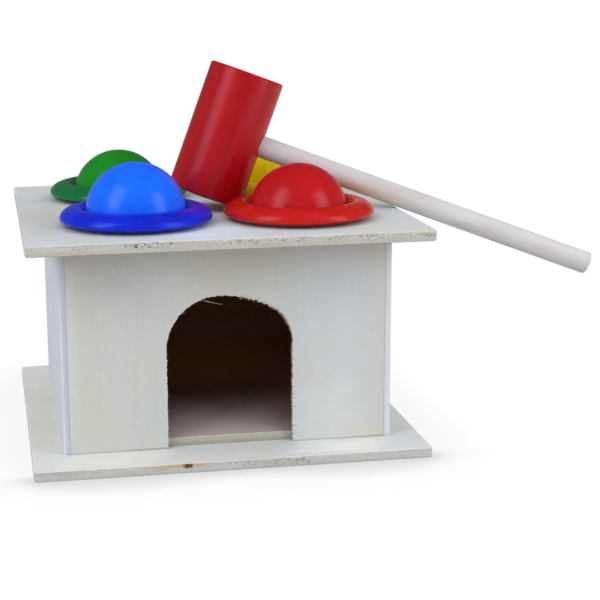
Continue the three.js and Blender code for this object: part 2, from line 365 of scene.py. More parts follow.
@dataclass(frozen=True)
class SawnEdge(Finish):
    """The sawn edge of plywood: a torn, pitted core over a smooth veneer, with a pale top arris.

    Where the core and the arris start and end is given as a share of the board's thickness.

    Attributes:
        torn: How strong the pits and the torn fibres are.
        calm_to_mm: Left of this place along X the saw left the edge nearly clean.
        calm_share: How much is torn left and right of it.
        crowds: Where more fibres are torn.
        waver: How far the layers stray up and down.
    """

    low_mm: float
    high_mm: float
    veneer: str = "#bcb9ae"
    core: str = "#c2c1bb"
    cloud: str = "#aeaba1"
    arris: str = "#dddbcf"
    pit: str = "#645d50"
    fibre: str = "#ecebe4"
    core_from: float = 0.42
    core_fade: Span = (-0.05, 0.08)
    core_to: Span = (0.86, 0.96)
    arris_from: Span = (0.9, 1.0)
    arris_share: float = 0.9
    torn: float = 1.0
    calm_to_mm: float = -1000.0
    calm_fade_mm: Span = (-6.0, 10.0)
    calm_share: Span = (0.12, 0.68)
    crowds: tuple[Mark, ...] = ()
    stains_and_painted_light: tuple[Mark, ...] = ()
    waver: Grain = Grain((3.0, 3.0, 3.0), WHOLE, (-0.1, 0.1))
    patches: Grain = Grain((6.0, 6.0, 3.0), (0.36, 0.58), (0.3, 1.0), shift=23.0)
    clouds: Grain = Grain((12.0, 12.0, 2.0), (0.35, 0.7), (0.0, 0.45), detail=3.0)
    pits: Grain = Grain((0.7, 0.7, 0.5), (0.55, 0.61), rough=0.75, shift=11.0)
    fibres: Grain = Grain((0.7, 0.7, 0.5), (0.57, 0.64), rough=0.75, shift=37.0)
    tooth: Grain = Grain((0.4, 0.4, 0.4), WHOLE, detail=3.0, shift=9.0)
    pit_depth: float = 1.4
    roughness: float = 0.8
    gloss: float = 0.2
    relief_mm: float = 0.12

    def material(self) -> Material:
        """Build the edge's material, with layers through the board's thickness."""
        material, add, place = self.begin()
        axes = add("SeparateXYZ", place).outputs
        level = add("MapRange", axes["Z"], self.low_mm, self.high_mm)
        level = add("Math", level, self.waver.draw(add, place), operation="ADD")
        core = add("MapRange", level, *(self.core_from + fade for fade in self.core_fade))
        below_top = add("MapRange", level, *self.core_to, 1.0, 0.0)
        core = add("Math", core, below_top, operation="MULTIPLY")
        top = add("MapRange", level, *self.arris_from, 0.0, self.arris_share)
        reach = add("MapRange", axes["X"], *(self.calm_to_mm + fade for fade in self.calm_fade_mm),
                    *self.calm_share)
        crowd = add("Math", reach, self.patches.draw(add, place), operation="MULTIPLY")
        for each in self.crowds:
            crowd = add("Math", crowd, each.draw(add, place), operation="MAXIMUM")
        crowd = add("Math", crowd, core, operation="MULTIPLY")
        torn = []
        for layer in (self.pits, self.fibres):
            speck = replace(layer, ends=(0.0, self.torn)).draw(add, place)
            torn.append(add("Math", speck, crowd, operation="MULTIPLY"))
        pits, fibres = torn
        colour = tint(add, self.veneer, [
            (core, self.core),
            (self.clouds.draw(add, place), self.cloud),
            (top, self.arris),
            *((tint_mark.draw(add, place), tint_mark.colour) for tint_mark in self.stains_and_painted_light),
            (fibres, self.fibre),
            (pits, self.pit),
        ])
        height = add("Math", pits, -self.pit_depth, self.tooth.draw(add, place), operation="MULTIPLY_ADD")
        connect(add, colour, self.roughness, height, self.relief_mm, Specular_IOR_Level=self.gloss)
        return material


@dataclass(frozen=True)
class Glossy(Finish):
    """A smooth coloured finish, deeper in some places and a little duller in others.

    Attributes:
        gleam: The tint of its highlights.
        uneven: How far its roughness strays.
    """

    colour: str
    deep: str
    gleam: str
    roughness: float = 0.26
    uneven: Span = (-0.03, 0.05)
    dull: Grain = Grain((5.0, 5.0, 5.0), MOST, shift=6.0)
    ior: float = 1.52
    gloss: float = 0.5
    relief_mm: float = 0.06

    def coat(self, add: Adder, place: Node, deeper: Node, height: Node) -> None:
        """Colour the finish and connect its shader.

        Args:
            add: Adds a node to the material.
            place: The place on the piece in millimetres.
            deeper: Where its colour is deeper.
            height: The surface's height.
        """
        ends = tuple(self.roughness + stray for stray in self.uneven)
        colour = tint(add, self.colour, [(deeper, self.deep)])
        sheen = replace(self.dull, ends=ends).draw(add, place)
        connect(add, colour, sheen, height, self.relief_mm, IOR=self.ior,
                Specular_IOR_Level=self.gloss, Specular_Tint=linear(self.gleam))


@dataclass(frozen=True)
class Lacquer(Glossy):
    """Coloured nitro lacquer dipped over turned wood: saturated, with a soft sheen.

    The wood's grain still shows through it as long faint streaks, drawn wider than they are.
    """

    streak_mm: Size = (1.6, 1.6, 30.0)
    drift_mm: Size = (9.0, 9.0, 12.0)
    dull: Grain = Grain((3.0, 3.0, 6.0), MOST, shift=4.0)
    ripple: Grain = Grain((0.9, 0.9, 3.0), (0.2, 0.8), shift=8.0)
    ripple_share: float = 0.4
    ior: float = 1.5
    relief_mm: float = 0.012

    def material(self, turn: Matrix | None = None) -> Material:
        """Build the lacquer's material, with the grain along the piece's own Z."""
        material, add, place = self.begin(turn)
        streaks = Grain(self.streak_mm, MOST, (0.3, 1.0), detail=3.0, rough=0.55, shift=13.0)
        streaks = streaks.draw(add, place)
        drift = Grain(self.drift_mm, (0.35, 0.7), (0.0, 0.75))
        deeper = add("Math", streaks, drift.draw(add, place), operation="MULTIPLY")
        ripple = self.ripple.draw(add, place)
        height = add("Math", ripple, self.ripple_share, streaks, operation="MULTIPLY_ADD")
        self.coat(add, place, deeper, height)
        return material


@dataclass(frozen=True)
class SoftPlastic(Glossy):
    """Injection moulded soft vinyl: deep colour, smooth gloss, very slightly wavy."""

    drift: Grain = Grain((8.0, 8.0, 5.0), (0.35, 0.7), (0.0, 0.6))
    waves: Grain = Grain((6.0, 6.0, 6.0), WHOLE, shift=3.0)

    def material(self) -> Material:
        """Build the moulding's material."""
        material, add, place = self.begin()
        self.coat(add, place, self.drift.draw(add, place), self.waves.draw(add, place))
        return material


@dataclass(frozen=True)
class BirchDowel(Finish):
    """A bare sanded birch dowel: pale, matt, with straight fine grain along the stick.

    Its pores are drawn wider than they are, because the real ones are too fine to show.
    """

    light: str = "#cfcbcb"
    shade: str = "#c6c1c0"
    pore: str = "#b2a7a0"
    stains_and_painted_light: tuple[Mark, ...] = ()
    drift: Grain = Grain((24.0, 5.0, 5.0), (0.35, 0.68))
    pores: Grain = Grain((26.0, 0.9, 0.9), (0.5, 0.75), (0.0, 0.28), detail=3.0, rough=0.6, shift=5.0)
    tooth: Grain = Grain((9.0, 0.5, 0.5), WHOLE, detail=3.0, shift=2.0)
    roughness: float = 0.6
    gloss: float = 0.3
    relief_mm: float = 0.03

    def material(self, turn: Matrix) -> Material:
        """Build the dowel's material, with the grain along the piece's own X."""
        material, add, place = self.begin(turn)
        pores = self.pores.draw(add, place)
        colour = tint(add, self.light, [
            (self.drift.draw(add, place), self.shade),
            (pores, self.pore),
            *((tint_mark.draw(add, place), tint_mark.colour) for tint_mark in self.stains_and_painted_light),
        ])
        height = add("Math", pores, self.tooth.draw(add, place), operation="ADD")
        connect(add, colour, self.roughness, height, self.relief_mm, Specular_IOR_Level=self.gloss)
        return material


def put(name: str, data: ID) -> Object:
    """Link a new object to the scene.

    Args:
        name: Its name.
        data: Its mesh, lamp or camera.

    Returns:
        The object.
    """
    made = bpy.data.objects.new(name, data)
    bpy.context.scene.collection.objects.link(made)
    return made


def to_object(name: str, bm: BMesh) -> Object:
    """Link a bmesh to the scene as an object.

    Args:
        name: The object's name.
        bm: The mesh; it is freed here.

    Returns:
        The object.
    """
    mesh = bpy.data.meshes.new(name)
    bm.to_mesh(mesh)
    bm.free()
    return put(name, mesh)


def make_piece(name: str, bm: BMesh, finishes: Iterable[Material], body: str,
               replaced: Iterable[str] = (), smooth_deg: float | None = None) -> Object:
    """Turn a finished bmesh into a piece of the toy.

    Args:
        name: The piece's name.
        bm: The mesh, in metres in the shared frame; it is freed here.
        finishes: Materials in the order of the faces' material numbers.
        body: The rigid body that the piece rides on.
        replaced: CAD nodes that this piece stands for.
        smooth_deg: Faces that meet at less than this angle shade as one surface.

    Returns:
        The new object.
    """
    if smooth_deg is not None:
        for face in bm.faces:
            face.smooth = True
        for edge in bm.edges:
            edge.smooth = len(edge.link_faces) == 2 and edge.calc_face_angle(0.0) < math.radians(smooth_deg)
    piece = to_object(name, bm)
    for finish in finishes:
        piece.data.materials.append(finish)
    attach(piece, body)
    if replaced:
        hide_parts(*replaced)
    log.info("%s: %d faces on %s", name, len(piece.data.polygons), body)
    return piece


def cut(bm: BMesh, cutter: BMesh) -> BMesh:
    """Cut one closed mesh out of another.

    Args:
        bm: The mesh to cut; it is freed here.
        cutter: The mesh to take away; it is freed here.

    Returns:
        The cut mesh.
    """
    for each in (bm, cutter):
        bmesh.ops.recalc_face_normals(each, faces=each.faces[:])
    whole, tool = to_object("cut", bm), to_object("cut", cutter)
    modifier = whole.modifiers.new("cut", "BOOLEAN")
    modifier.object = tool
    modifier.operation = "DIFFERENCE"
    modifier.solver = "EXACT"
    graph = bpy.context.evaluated_depsgraph_get()
    result = bmesh.new()
    result.from_mesh(whole.evaluated_get(graph).to_mesh())
    for each in (whole, tool):
        bpy.data.objects.remove(each)
    return result


def roughen(verts: Iterable[BMVert], directions: Callable[[Vector], Vector], size_mm: float,
            depth_mm: float) -> None:
    """Push points in and out by smooth noise.

    Args:
        verts: The points to move.
        directions: Gives the unit direction to move a point along.
        size_mm: The width of a bump.
        depth_mm: The most that a point moves.
    """
    falloff, finer, layers = 1.0, 2.0, 3
    for vert in verts:
        amount = noise.fractal(vert.co / (size_mm * MM), falloff, finer, layers) * depth_mm * MM
        vert.co += directions(vert.co) * amount


def bevel(bm: BMesh, parts: list, width_mm: float, segments: int, affect: str = "EDGES") -> None:
    """Round edges or corners.

    Args:
        bm: The mesh.
        parts: The edges, or the points where affect is VERTICES.
        width_mm: The width of the rounding.
        segments: How many facets it has.
        affect: EDGES or VERTICES.
    """
    bmesh.ops.bevel(bm, geom=parts, offset=width_mm * MM, offset_type="OFFSET", segments=segments,
                    profile=0.5, affect=affect, material=-1)


def extrude(bm: BMesh, along: Size) -> None:
    """Extrude a flat mesh into a closed solid.

    Args:
        bm: The mesh.
        along: How far its copy moves, in metres.
    """
    grown = bmesh.ops.extrude_face_region(bm, geom=bm.faces[:])["geom"]
    bmesh.ops.translate(bm, verts=[part for part in grown if isinstance(part, BMVert)], vec=along)


def quarter(centre: Span, radii: Span, start: float, steps: int) -> list[Span]:
    """Points of a quarter of an ellipse in the XZ plane.

    Args:
        centre: Its middle along X and Z.
        radii: Its radii along X and Z.
        start: Where it starts, in turns from the X axis.
        steps: How many pieces it has.

    Returns:
        The points along X and Z, with both ends.
    """
    angles = [FULL_TURN * (start + 0.25 * i / steps) for i in range(steps + 1)]
    return [(centre[0] + radii[0] * math.cos(a), centre[1] + radii[1] * math.sin(a)) for a in angles]


def turned(section: Iterable[Span], steps: int, closed: bool) -> BMesh:
    """Turn a section round the Z axis.

    Args:
        section: Its points along X and Z, in millimetres.
        steps: How many facets go round.
        closed: Whether its last point joins its first.

    Returns:
        A closed mesh in metres.
    """
    bm = bmesh.new()
    verts = [bm.verts.new((x * MM, 0, z * MM)) for x, z in section]
    pairs = list(zip([verts[-1], *verts[:-1]], verts))
    edges = [bm.edges.new(pair) for pair in (pairs if closed else pairs[1:])]
    bmesh.ops.spin(bm, geom=verts + edges, cent=(0, 0, 0), axis=(0, 0, 1), dvec=(0, 0, 0),
                   angle=FULL_TURN, steps=steps, use_merge=True)
    bmesh.ops.remove_doubles(bm, verts=bm.verts[:], dist=0.001 * MM)
    bmesh.ops.recalc_face_normals(bm, faces=bm.faces[:])
    return bm


def fibre(bm: BMesh, root: Vector, lean: Vector, length: float, radius: float, deep: float = 1.0) -> None:
    """Add one tapered fibre, or a cutter for the slit that one left.

    Args:
        bm: The mesh that takes it.
        root: Where its thick end is.
        lean: Its unit direction.
        length: Its length in metres.
        radius: Its radius at the root in metres.
        deep: How much wider it is along Y than across.
    """
    along_y = Vector((0, 1, 0))
    across = lean.cross(along_y).normalized()
    axes = Matrix((across.cross(lean) * deep, across, lean)).transposed().to_4x4()
    sides, tip = 6, 0.25
    bmesh.ops.create_cone(bm, cap_ends=True, segments=sides, radius1=radius, radius2=tip * radius,
                          depth=length, matrix=Matrix.Translation(root + lean * length / 2) @ axes)


@dataclass
class PlyBoard:
    """One sawn plywood board in the place of a CAD node.

    Attributes:
        name: The piece's name.
        node: The CAD node that it stands for.
        outward: The way its best face looks.
        face: The finish of that face.
        edge: The finish of the sawn edges.
        inner: The finish of the other face.
        corner_mm: Radius of the corners, seen on the face.
        arris_mm: Width of the rounding along the edges.
        tear_mm: How deep the saw tore the edges.
        step_mm: Spacing of the points along the edges.
        shrink_mm: Taken off all round the edges, for the joint beside it.
    """

    name: str
    node: str
    outward: Side
    face: Material
    edge: Material
    inner: Material
    corner_mm: float = 0.4
    arris_mm: float = 0.07
    tear_mm: float = 0.02
    tear_every_mm: float = 1.1
    step_mm: float = 1.0
    shrink_mm: float = 0.0

    def turn(self) -> Matrix:
        """The rotation that takes a board lying flat, face up, to its place."""
        if self.outward is Side.UP:
            return Matrix.Identity(4)
        outward = Vector(self.outward.value)
        across = Vector((0, 0, 1)).cross(outward)
        return Matrix((across, (0, 0, 1), outward)).transposed().to_4x4()

    def blank(self) -> BMesh:
        """The board with round corners and torn edges, in its place."""
        low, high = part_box(self.node)
        turn = self.turn()
        width, depth, thickness = (abs(side) for side in turn.transposed().to_3x3() @ (high - low))
        width -= 2 * self.shrink_mm * MM
        depth -= 2 * self.shrink_mm * MM
        bm = bmesh.new()
        bmesh.ops.create_grid(bm, x_segments=1, y_segments=1, size=0.5)
        bmesh.ops.scale(bm, vec=(width, depth, 1), verts=bm.verts[:])
        bevel(bm, bm.verts[:], self.corner_mm, segments=5, affect="VERTICES")
        for edge in [e for e in bm.edges if e.calc_length() > 4 * self.corner_mm * MM]:
            cuts = max(1, round(edge.calc_length() / (self.step_mm * MM)))
            bmesh.ops.subdivide_edges(bm, edges=[edge], cuts=cuts)
        extrude(bm, (0, 0, thickness))
        bmesh.ops.recalc_face_normals(bm, faces=bm.faces[:])
        rims = [e for e in bm.edges if self.drop(e) < 0.001 * MM and len(e.link_faces) == 2
                and any(abs(f.normal.z) > FLAT for f in e.link_faces)]
        bevel(bm, rims, self.arris_mm, segments=2)
        upright = [e for e in bm.edges if self.drop(e) > 0.5 * thickness]
        bmesh.ops.subdivide_edges(bm, edges=upright, cuts=4, use_grid_fill=True)
        for face in bm.faces:
            if face.normal.z < -FLAT:
                face.material_index = INNER
            elif face.normal.z < FLAT:
                face.material_index = EDGE
        sides = {v for f in bm.faces if abs(f.normal.z) < UPRIGHT for v in f.verts}
        roughen(sides, self.sideways, self.tear_every_mm, self.tear_mm)
        bmesh.ops.translate(bm, verts=bm.verts[:], vec=(0, 0, -thickness / 2))
        bmesh.ops.transform(bm, matrix=Matrix.Translation((low + high) / 2) @ turn, verts=bm.verts[:])
        return bm

    @staticmethod
    def drop(edge: BMEdge) -> float:
        """How much higher one end of an edge lies than the other."""
        return abs(edge.verts[0].co.z - edge.verts[1].co.z)

    @staticmethod
    def sideways(place: Vector) -> Vector:
        """The unit direction from the board's middle, within its plane."""
        if abs(place.x) > abs(place.y):
            return Vector((math.copysign(1, place.x), 0, 0))
        return Vector((0, math.copysign(1, place.y), 0))

    def build(self, shaped: BMesh | None = None) -> Object:
        """Make the piece.

        Args:
            shaped: The blank after further cuts, or nothing to use it as it is.

        Returns:
            The board.
        """
        bm = shaped if shaped is not None else self.blank()
        return make_piece(self.name, bm, [self.face, self.edge, self.inner],
                          Body.HOUSE.value, [self.node])


@dataclass
class Doorway:
    """The arched doorway, jigsawn by hand: its outline is ragged and a few fibres hang in it.

    Attributes:
        front: The panel's front face along Y, in metres.
        back: The panel's back face along Y, in metres.
        foot: The height of the wall's foot, in metres.
        crown_aside_mm: How far left of its middle the arch is highest.
        haunch_mm: The radius of the bend over its right jamb.
        waver_mm: The width and the depth of the outline's long waves.
        ragged_mm: The width and the depth of its short ones.
        torn_from_mm: Right of and above this place the saw tore the most.
        aim: How high up the opening lies the point that fibres and notches are turned to.
        fibre_reach: How far back through the panel they hang, as a share of its thickness.
        splinter_mm: Both ends of the long splinter; their Y counts from the panel's front.
        saw_marks_mm: The heights of the notches in the right jamb.
    """

    front: float
    back: float
    foot: float
    half_width_mm: float = 22.1
    centre_mm: float = 0.5
    crown_aside_mm: float = 3.4
    height_mm: float = 53.9
    rise_mm: float = 16.7
    haunch_mm: float = 13.3
    point_step_mm: float = 0.3
    waver_mm: Span = (2.2, 0.22)
    ragged_mm: Span = (0.45, 0.42)
    overrun_mm: float = 3.0
    torn_from_mm: Span = (4.0, 44.0)
    aim: float = 0.45
    fibres: int = 150
    fibre_mm: Span = (0.5, 1.5)
    fibre_radius_mm: Span = (0.05, 0.11)
    fibre_sway: float = 1.6
    fibre_reach: float = 0.6
    splinter_mm: tuple[Size, Size] = ((-8.3, 0.4, 55.8), (-1.9, -0.2, 54.3))
    splinter_radius_mm: float = 0.09
    saw_marks_mm: tuple[float, ...] = (33.6, 28.3, 26.3, 23.6, 20.9, 19.6, 17.7, 16.2, 11.6, 9.3, 6.4)
    chip_tilt: Span = (-0.15, 0.15)
    jamb_chip_mm: Span = (0.5, 1.8)
    arch_chip_mm: Span = (0.3, 1.4)
    chip_every_mm: float = 0.95
    chip_radius_mm: Span = (0.12, 0.22)
    chip_root_mm: float = 0.5
    seed: int = 11

    def outline(self) -> list[Vector]:
        """Points of the arch in the XZ plane, from the right foot to the left one, in metres."""
        crown_x = self.centre_mm - self.crown_aside_mm
        run = self.half_width_mm + self.crown_aside_mm - self.haunch_mm
        rise, haunch = self.rise_mm, self.haunch_mm
        crown = (run ** 2 + rise ** 2 - haunch ** 2) / (2 * (rise - haunch))
        left = self.half_width_mm - self.crown_aside_mm
        top = self.foot / MM + self.height_mm
        turn = math.atan2(crown - rise, run)
        arcs = (
            (crown_x + run, top - rise, haunch, 0.0, turn),
            (crown_x, top - crown, crown, turn, math.pi / 2),
            (crown_x, top - left, left, math.pi / 2, math.pi),
        )
        low = self.foot / MM - self.overrun_mm
        right_x, left_x = self.centre_mm + self.half_width_mm, self.centre_mm - self.half_width_mm
        points = self.run(Vector((right_x, 0, low)), Vector((right_x, 0, top - rise)))
        for x, z, radius, start, end in arcs:
            steps = max(2, round(radius * (end - start) / self.point_step_mm))
            for i in range(steps):
                angle = start + (end - start) * i / steps
                points.append(Vector((x + radius * math.cos(angle), 0, z + radius * math.sin(angle))))
        points += self.run(Vector((left_x, 0, top - left)), Vector((left_x, 0, low)))
        return [p * MM for p in [*points, Vector((left_x, 0, low))]]

    def run(self, start: Vector, end: Vector) -> list[Vector]:
        """Evenly spaced points of a straight jamb, without its end."""
        steps = max(2, round((end - start).length / self.point_step_mm))
        return [start.lerp(end, i / steps) for i in range(steps)]

    def middle(self, share: float) -> Vector:
        """The point in the opening at a share of its height."""
        return Vector((self.centre_mm * MM, 0, self.foot + share * self.height_mm * MM))

    def torn_part(self) -> list[Vector]:
        """The arch's upper right, where the saw tore the most."""
        from_x, from_z = self.torn_from_mm
        return [p for p in self.outline() if p.x > from_x * MM and p.z > from_z * MM]

    def cutter(self) -> BMesh:
        """The ragged solid that the saw took out of the panel."""
        middle = self.middle(0.5)
        bm = bmesh.new()
        rim = [bm.verts.new(p) for p in self.outline()]
        bm.faces.new(rim)
        for size, depth in (self.waver_mm, self.ragged_mm):
            roughen(rim[1:-1], lambda p: (p - middle).normalized(), size, depth)
        bmesh.ops.translate(bm, verts=rim, vec=(0, self.front - self.overrun_mm * MM, 0))
        extrude(bm, (0, self.back - self.front + 2 * self.overrun_mm * MM, 0))
        return bm

    def chips(self) -> BMesh:
        """Closed cones, clear of each other, for the notches in the panel's face beside the opening."""
        draw = random.Random(self.seed + 1)
        centre = self.middle(self.aim)
        right_x = (self.centre_mm + self.half_width_mm) * MM
        places = [(Vector((right_x, 0, z * MM)), Vector((1, 0, draw.uniform(*self.chip_tilt))),
                   self.jamb_chip_mm) for z in self.saw_marks_mm]
        last = None
        for place in self.torn_part():
            if last is None or (place - last).length > self.chip_every_mm * MM:
                last = place
                places.append((place, (place - centre).normalized(), self.arch_chip_mm))
        bm = bmesh.new()
        for place, lean, lengths in places:
            start = Vector((place.x, self.front + 0.1 * MM, place.z)) - lean * self.chip_root_mm * MM
            length = (self.chip_root_mm + draw.uniform(*lengths)) * MM
            fibre(bm, start, lean.normalized(), length, draw.uniform(*self.chip_radius_mm) * MM, deep=4.0)
        return bm

    def fuzz(self, finish: Material) -> Object:
        """Fine torn fibres along the arch, and the long splinter at its upper left.

        Args:
            finish: The fibres' material.

        Returns:
            All the fibres as one piece.
        """
        draw = random.Random(self.seed)
        outline = [p for p in self.outline() if p.z > self.foot + 2 * MM]
        torn = self.torn_part()
        centre = self.middle(self.aim)
        bm = bmesh.new()
        for i in range(self.fibres):
            root = draw.choice(torn if i % 3 else outline).copy()
            root.y = self.front + draw.random() * (self.back - self.front) * self.fibre_reach
            inward = (centre - Vector((root.x, 0, root.z))).normalized()
            along = Vector((-inward.z, 0, inward.x)) * draw.uniform(-self.fibre_sway, self.fibre_sway)
            lean = (inward + along + Vector((0, -draw.uniform(0.0, 0.5), 0))).normalized()
            length = draw.uniform(*self.fibre_mm) * MM
            fibre(bm, root - inward * 0.25 * MM, lean, length, draw.uniform(*self.fibre_radius_mm) * MM)
        root, tip = (Vector((x * MM, self.front + y * MM, z * MM)) for x, y, z in self.splinter_mm)
        fibre(bm, root, (tip - root).normalized(), (tip - root).length, self.splinter_radius_mm * MM)
        return make_piece("door_fibres", bm, [finish], Body.HOUSE.value, smooth_deg=60)


@dataclass
class House:
    """The plywood house: roof, base, four walls, doorway, ramp and batten."""

    roof_hole_mm: float = 20.0
    hole_steps: int = 72
    joint_mm: float = 0.07
    splinters_mm: tuple[float, ...] = (-24.5, -11.8, -10.6, -3.0, 7.6, 8.9, 10.2, 24.0, 41.0)
    splinter_under_mm: Span = (0.2, 1.0)
    splinter_length_mm: Span = (1.0, 2.2)
    splinter_radius_mm: Span = (0.09, 0.15)
    splinter_seed: int = 5
    flat_grain_mm: Size = (46.0, 1.3, 1.3)
    ramp_grain_mm: Size = (1.3, 46.0, 1.3)
    corner_mm: float = 1.6
    arris_mm: float = 0.35
    ramp_arris_mm: float = 0.25

    def build(self) -> None:
        """Make and dress every board."""
        # The inside faces are darkened to deep brown: painted shade for the dim inside of the house.
        inner = SandedPly("shade_darkened_basswood_inside", cool="#9a6d42", warm="#8f623a", grain="#6f4a2b",
                          gloss=0.0).material()
        self.roof(inner)
        self.base()
        self.front_panel(inner)
        self.walls(inner)
        self.ramp()

    def roof(self, inner: Material) -> None:
        """Make the roof and the fibres torn from its front edge.

        Args:
            inner: The finish of its underside.
        """
        low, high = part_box("top_board")
        front = low.y / MM
        edge = SawnEdge(
            "sawn_roof_edge", low.z / MM, high.z / MM, calm_to_mm=-14.0,
            crowds=marks(1, front, 2.0, (-28.5, 79.0, 8.5, 2.0, 1.0, 0.5), (-50.0, 79.0, 5.0, 2.0, 0.4)),
            stains_and_painted_light=marks(1, front, 2.0, (10.0, 80.2, 34.0, 0.6, 0.35, 0.8, "#dcd7a4"),
                         (64.0, 80.2, 9.0, 0.8, 0.5, 0.8, "#dcd694")),
        ).material()
        face = SandedPly(
            "basswood_roof", cool="#ccd3da", warm="#d0d1cf", grain_mm=self.flat_grain_mm, grain_share=0.1,
            stains_and_painted_light=marks(2, 80.2, 9.0, (-58.0, -10.0, 26.0, 50.0, 0.8, 0.9, "#c1c4c0"),
                         (-12.0, -50.0, 20.0, 22.0, 0.7, 0.9, "#dde7f4")),
        ).material()
        board = PlyBoard("roof_plywood", "top_board", Side.UP, face, edge, inner, self.corner_mm,
                         self.arris_mm, tear_mm=0.16, step_mm=0.7)
        board.build(self.with_holes(board.blank()))
        self.splinters(face)

    def with_holes(self, blank: BMesh) -> BMesh:
        """Saw the four round holes for the collars.

        Args:
            blank: The roof before it is cut.

        Returns:
            The roof with its holes.
        """
        low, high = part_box("top_board")
        radius = self.roof_hole_mm * MM
        tools = bmesh.new()
        for hue in Hue:
            ring_low, ring_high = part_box(f"ring_{hue.value}")
            middle = (ring_low + ring_high) / 2
            middle.z = (low.z + high.z) / 2
            bmesh.ops.create_cone(tools, cap_ends=True, segments=self.hole_steps, radius1=radius,
                                  radius2=radius, depth=3 * (high.z - low.z),
                                  matrix=Matrix.Translation(middle))
        return cut(blank, tools)

    def splinters(self, finish: Material) -> None:
        """Lift a few torn fibres from the roof's front edge.

        Args:
            finish: Their material.
        """
        draw = random.Random(self.splinter_seed)
        low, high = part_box("top_board")
        bm = bmesh.new()
        for x in self.splinters_mm:
            under = draw.uniform(*self.splinter_under_mm) * MM
            root = Vector((x * MM, low.y - 0.02 * MM, high.z - under))
            lean = Vector((draw.uniform(-1, 1), -0.12, -draw.uniform(0.2, 0.9))).normalized()
            length = draw.uniform(*self.splinter_length_mm) * MM
            fibre(bm, root, lean, length, draw.uniform(*self.splinter_radius_mm) * MM)
        make_piece("roof_splinters", bm, [finish], Body.HOUSE.value)

    def base(self) -> None:
        """Make the base."""
        low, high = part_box("base_board")
        front = low.y / MM
        edge = SawnEdge(
            "sawn_base_edge", low.z / MM, high.z / MM, veneer="#b8b7b3", core="#c3c3c1",
            arris="#d6d5ce", core_from=0.2, torn=0.75, calm_to_mm=80.0,
            crowds=marks(1, front, 2.0, (1.5, 2.0, 6.0, 2.0, 0.65), (13.0, 1.7, 4.5, 1.6, 0.5),
                         (20.5, 2.0, 5.0, 2.0, 1.0)),
            stains_and_painted_light=marks(1, front, 2.0, (-19.0, 3.1, 12.0, 1.1, 0.9, 0.6, "#c9a783"),
                         (-17.0, 2.7, 1.9, 0.9, 1.0, 0.5, "#5f4534"),
                         (-60.0, 3.3, 8.0, 0.6, 0.5, 0.7, "#a39884")),
        ).material()
        face = SandedPly(
            "basswood_base", cool="#dcdfe2", warm="#dedcd6", grain_mm=self.flat_grain_mm, grain_share=0.1,
            stains_and_painted_light=marks(2, 3.5, 3.0, (-64.0, -10.0, 9.0, 46.0, 0.7, 0.9, "#d5d1c4"),
                         (-38.0, -61.0, 24.0, 9.0, 0.7, 0.9, "#eceae2"),
                         (-2.0, -61.0, 20.0, 12.0, 0.7, 0.9, "#e8e8ea"),
                         (38.0, -61.0, 17.0, 9.0, 0.75, 0.9, "#f3f6f0"),
                         (63.0, -54.0, 9.0, 15.0, 0.7, 0.9, "#d3d6d9")),
        ).material()
        PlyBoard("base_plywood", "base_board", Side.UP, face, edge, face, self.corner_mm, self.arris_mm,
                 tear_mm=0.08).build()

    def front_panel(self, inner: Material) -> None:
        """Saw the doorway out of the front panel and set it between the side walls.

        Args:
            inner: The finish of its back.
        """
        low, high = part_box("front_panel")
        face = SandedPly(
            "basswood_panel",
            stains_and_painted_light=marks(1, low.y / MM, 9.0,
                         (-46.0, 14.0, 13.0, 14.0, 0.4, 0.9, "#cfc9b8"),
                         # Near the top, under the roof: the darker grey and beige marks are painted shade,
                         # and the pale band along the top edge is painted light that lifts the roof's cast
                         # shade.
                         (-44.0, 66.0, 20.0, 14.0, 0.5, 0.9, "#b3b5b0"),
                         (4.0, 68.0, 26.0, 10.0, 0.5, 0.9, "#bcbbae"),
                         (-4.0, 78.5, 90.0, 5.0, 0.55, 0.9, "#ddd5c2"),
                         (-54.5, 34.0, 2.6, 34.0, 0.5, 0.8, "#cdd3de"),
                         (-38.0, 32.0, 5.0, 30.0, 0.35, 0.9, "#c8ced6"),
                         (41.0, 32.0, 15.0, 30.0, 0.45, 0.9, "#ccd4db"),
                         (-26.0, 5.5, 3.5, 4.0, 0.4, 0.9, "#cfccb2"),
                         (50.0, 5.5, 9.0, 4.0, 0.5, 0.9, "#cfcab0"),
                         (36.0, 12.0, 15.0, 14.0, 0.4, 0.9, "#d8dbd9"),
                         (0.0, 3.5, 70.0, 0.5, 0.8, 0.6, "#8a877b", 0.4)),
            crowds=marks(1, low.y / MM, 9.0,
                         (-41.0, 67.0, 6.0, 5.0, 0.5),
                         (-35.2, 38.0, 2.6, 17.0, 0.6),
                         (-34.5, 27.0, 2.8, 4.0, 0.95),
                         (-33.0, 13.0, 3.2, 4.5, 0.85),
                         (-29.4, 10.9, 1.5, 4.0, 0.7),
                         (-54.0, 26.0, 0.9, 34.0, 0.5)),
        ).material()
        reveal = SandedPly("sawn_reveal", cool="#b3ada2", warm="#a39b8e", grain="#7d7468",
                           grain_share=0.6).material()
        board = PlyBoard("front_plywood", "front_panel", Side.FRONT, face, reveal, inner,
                         shrink_mm=self.joint_mm / 2)
        doorway = Doorway(low.y, high.y, low.z)
        panel = cut(board.blank(), doorway.cutter())
        panel = cut(panel, doorway.chips())
        for side in panel.faces:
            if abs(side.normal.y) < SAWN:
                side.material_index = EDGE
        board.build(panel)
        doorway.fuzz(SandedPly("torn_basswood_fibre", cool="#dcd8cc", warm="#cdc6b6").material())

